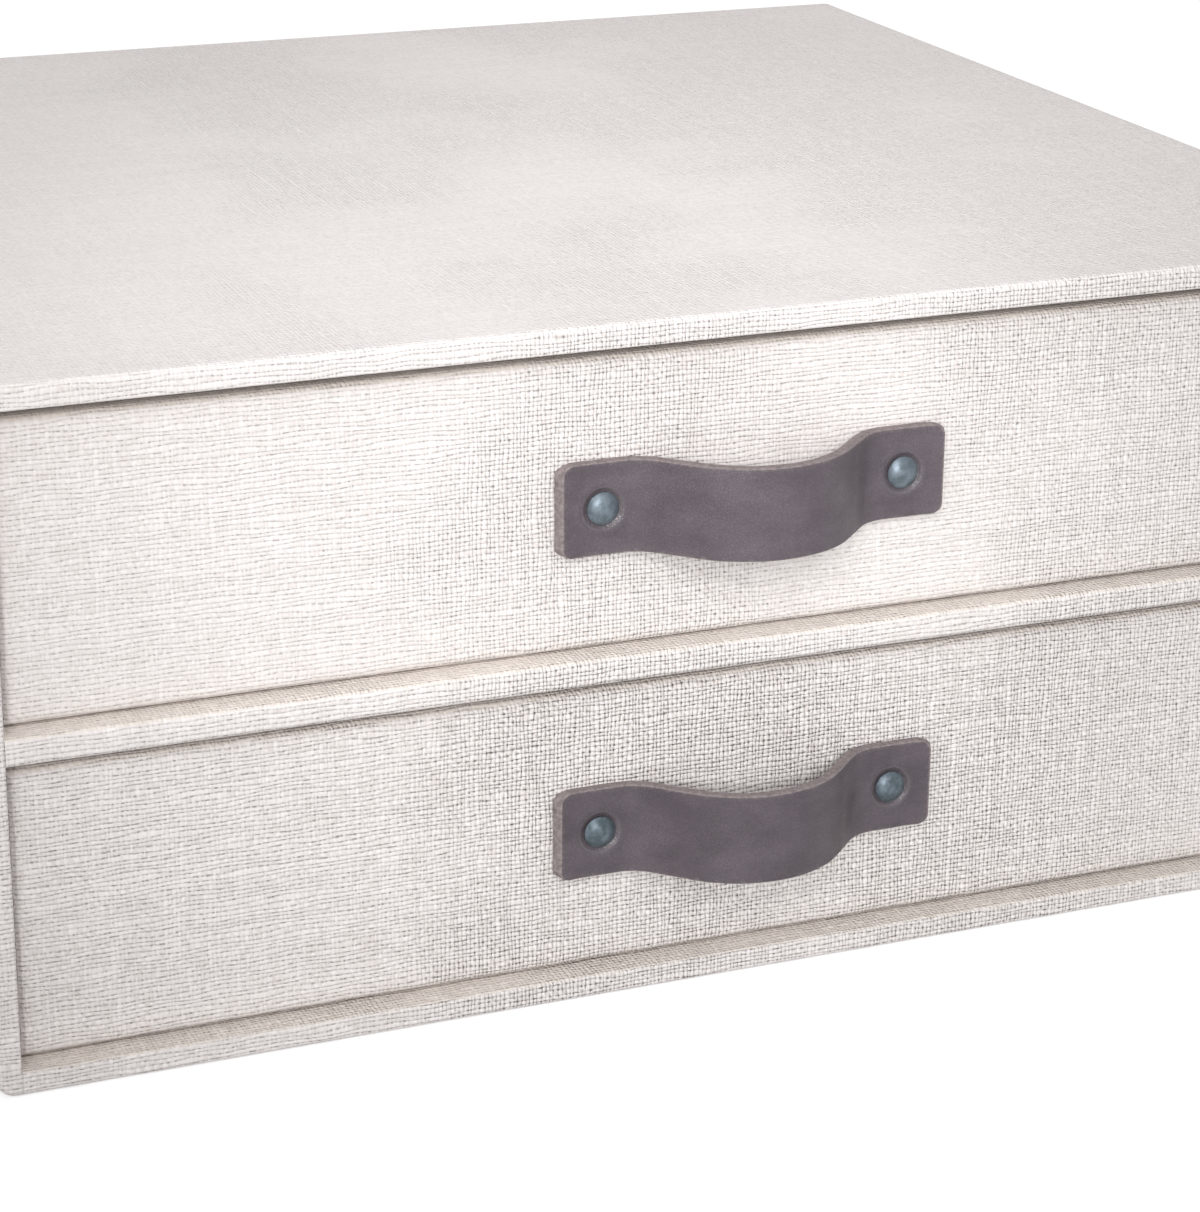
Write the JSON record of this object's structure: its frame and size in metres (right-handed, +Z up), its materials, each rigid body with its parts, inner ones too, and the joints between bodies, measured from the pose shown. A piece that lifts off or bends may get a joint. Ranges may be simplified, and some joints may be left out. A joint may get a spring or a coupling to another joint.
{
  "type": "file box with drawers",
  "caption": "Low document box covered in natural linen cloth, with sliding drawers one above the other, each pulled open by a bent leather strap held by domed rivets.",
  "frame": {"origin": "middle of the flat underside of the case", "axes": "+X to the right as seen from the front, +Y towards the back (drawers open towards -Y), +Z up"},
  "size_m": [0.33, 0.3236, 0.148],
  "materials": {
    "linen_cloth": "natural linen canvas, plain weave with slubs, matt",
    "strap_leather": "dark brown pull-up leather, matt, with raw grey-mauve edges",
    "rivet_metal": "blackened brass with a blue-green patina, satin",
    "cover_paper": "uncoated natural paper, matt",
    "lining_paper": "uncoated cream paper, matt",
    "case_fibreboard": "raw brown fibreboard",
    "drawer_fibreboard": "raw brown fibreboard"
  },
  "bodies": {
    "case": {"back_board": "case_fibreboard", "back_cloth": "linen_cloth", "base_board": "case_fibreboard", "base_cloth": "linen_cloth", "left_side_board": "case_fibreboard", "lower_bay_lining": "lining_paper", "outer_cloth": "linen_cloth", "right_side_board": "case_fibreboard", "shelf_board": "case_fibreboard", "shelf_cloth": "linen_cloth", "top_board": "case_fibreboard", "upper_bay_lining": "lining_paper"},
    "lower_drawer": {"lower_drawer_back_board": "drawer_fibreboard", "lower_drawer_base_board": "drawer_fibreboard", "lower_drawer_cover_paper": "cover_paper", "lower_drawer_front_board": "drawer_fibreboard", "lower_drawer_front_cloth": "linen_cloth", "lower_drawer_left_board": "drawer_fibreboard", "lower_drawer_lining_paper": "lining_paper", "lower_drawer_right_board": "drawer_fibreboard", "lower_handle_rivet_caps": "rivet_metal", "lower_handle_rivets": "rivet_metal", "lower_handle_strap": "strap_leather"},
    "upper_drawer": {"upper_drawer_back_board": "drawer_fibreboard", "upper_drawer_base_board": "drawer_fibreboard", "upper_drawer_cover_paper": "cover_paper", "upper_drawer_front_board": "drawer_fibreboard", "upper_drawer_front_cloth": "linen_cloth", "upper_drawer_left_board": "drawer_fibreboard", "upper_drawer_lining_paper": "lining_paper", "upper_drawer_right_board": "drawer_fibreboard", "upper_handle_rivet_caps": "rivet_metal", "upper_handle_rivets": "rivet_metal", "upper_handle_strap": "strap_leather"}
  },
  "joints": [
    {"name": "lower_drawer_slide", "type": "slide", "parent": "case", "child": "lower_drawer", "axis": [0, -1, 0], "range_m": [0, 0.23]},
    {"name": "upper_drawer_slide", "type": "slide", "parent": "case", "child": "upper_drawer", "axis": [0, -1, 0], "range_m": [0, 0.23]}
  ]
}
